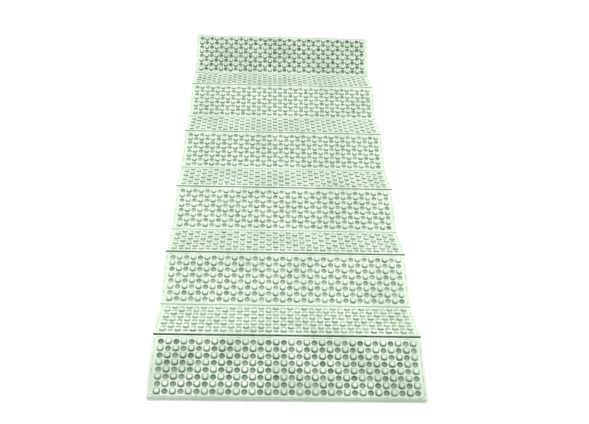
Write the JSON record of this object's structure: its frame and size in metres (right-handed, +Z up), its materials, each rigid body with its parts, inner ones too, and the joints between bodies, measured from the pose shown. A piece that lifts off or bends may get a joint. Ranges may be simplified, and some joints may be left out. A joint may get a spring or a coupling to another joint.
{
  "type": "folding foam camping mat",
  "caption": "Accordion-folding closed-cell foam camping mat with a chequerboard of studs and dimples, standing half unfolded as a zigzag.",
  "frame": {"origin": "on the floor, under the centre of the half unfolded mat's box", "axes": "+X along the creases, +Y from the front edge to the lifted far end, +Z up"},
  "size_m": [0.56, 1.5026, 0.089],
  "materials": {
    "foam": "moulded closed-cell polyethylene foam with a matt pebbled skin, pale mint green",
    "crease_foam": "the same foam pressed thin and dense in the creases"
  },
  "bodies": {
    "panel_01": {"panel_01": "foam"},
    "panel_02": {"panel_02": "foam", "crease_web_01": "crease_foam"},
    "panel_03": {"panel_03": "foam", "crease_web_02": "crease_foam"},
    "panel_04": {"panel_04": "foam", "crease_web_03": "crease_foam"},
    "panel_05": {"panel_05": "foam", "crease_web_04": "crease_foam"},
    "panel_06": {"panel_06": "foam", "crease_web_05": "crease_foam", "crease_web_06": "crease_foam"},
    "panel_07": {"panel_07": "foam", "crease_web_07": "crease_foam"},
    "panel_08": {"panel_08": "foam", "crease_web_08": "crease_foam"},
    "panel_09": {"panel_09": "foam", "crease_web_09": "crease_foam"},
    "panel_10": {"panel_10": "foam", "crease_web_10": "crease_foam"},
    "panel_11": {"panel_11": "foam"}
  },
  "joints": [
    {"name": "crease_fold_01", "type": "hinge", "parent": "panel_02", "child": "panel_01", "pos_m": [0, -0.61468, 0.0443], "axis": [1, 0, 0], "range_deg": [-35, 145], "stiffness_Nm_per_rad": 0.12, "deforming": ["crease_web_01"]},
    {"name": "crease_fold_02", "type": "hinge", "parent": "panel_03", "child": "panel_02", "pos_m": [0, -0.4775, 0.01048], "axis": [-1, 0, 0], "range_deg": [-34.5, 145.5], "stiffness_Nm_per_rad": 0.12, "deforming": ["crease_web_02"]},
    {"name": "crease_fold_03", "type": "hinge", "parent": "panel_04", "child": "panel_03", "pos_m": [0, -0.34003, 0.0431], "axis": [1, 0, 0], "range_deg": [-34, 146], "stiffness_Nm_per_rad": 0.12, "deforming": ["crease_web_03"]},
    {"name": "crease_fold_04", "type": "hinge", "parent": "panel_05", "child": "panel_04", "pos_m": [0, -0.20256, 0.01048], "axis": [-1, 0, 0], "range_deg": [-31.5, 148.5], "stiffness_Nm_per_rad": 0.12, "deforming": ["crease_web_04"]},
    {"name": "crease_fold_05", "type": "hinge", "parent": "panel_06", "child": "panel_05", "pos_m": [0, -0.06379, 0.03707], "axis": [1, 0, 0], "range_deg": [-29, 151], "stiffness_Nm_per_rad": 0.12, "deforming": ["crease_web_05"]},
    {"name": "crease_fold_06", "type": "hinge", "parent": "panel_06", "child": "panel_07", "pos_m": [0, 0.07497, 0.01048], "axis": [1, 0, 0], "range_deg": [-28.4, 151.6], "stiffness_Nm_per_rad": 0.12, "deforming": ["crease_web_06"]},
    {"name": "crease_fold_07", "type": "hinge", "parent": "panel_07", "child": "panel_08", "pos_m": [0, 0.214, 0.03562], "axis": [-1, 0, 0], "range_deg": [-27.8, 152.2], "stiffness_Nm_per_rad": 0.12, "deforming": ["crease_web_07"]},
    {"name": "crease_fold_08", "type": "hinge", "parent": "panel_08", "child": "panel_09", "pos_m": [0, 0.35303, 0.01048], "axis": [1, 0, 0], "range_deg": [-28.4, 151.6], "stiffness_Nm_per_rad": 0.12, "deforming": ["crease_web_08"]},
    {"name": "crease_fold_09", "type": "hinge", "parent": "panel_09", "child": "panel_10", "pos_m": [0, 0.4918, 0.03707], "axis": [-1, 0, 0], "range_deg": [-29, 151], "stiffness_Nm_per_rad": 0.12, "deforming": ["crease_web_09"]},
    {"name": "crease_fold_10", "type": "hinge", "parent": "panel_10", "child": "panel_11", "pos_m": [0, 0.63056, 0.01048], "axis": [1, 0, 0], "range_deg": [-49, 131], "stiffness_Nm_per_rad": 0.12, "deforming": ["crease_web_10"]}
  ]
}
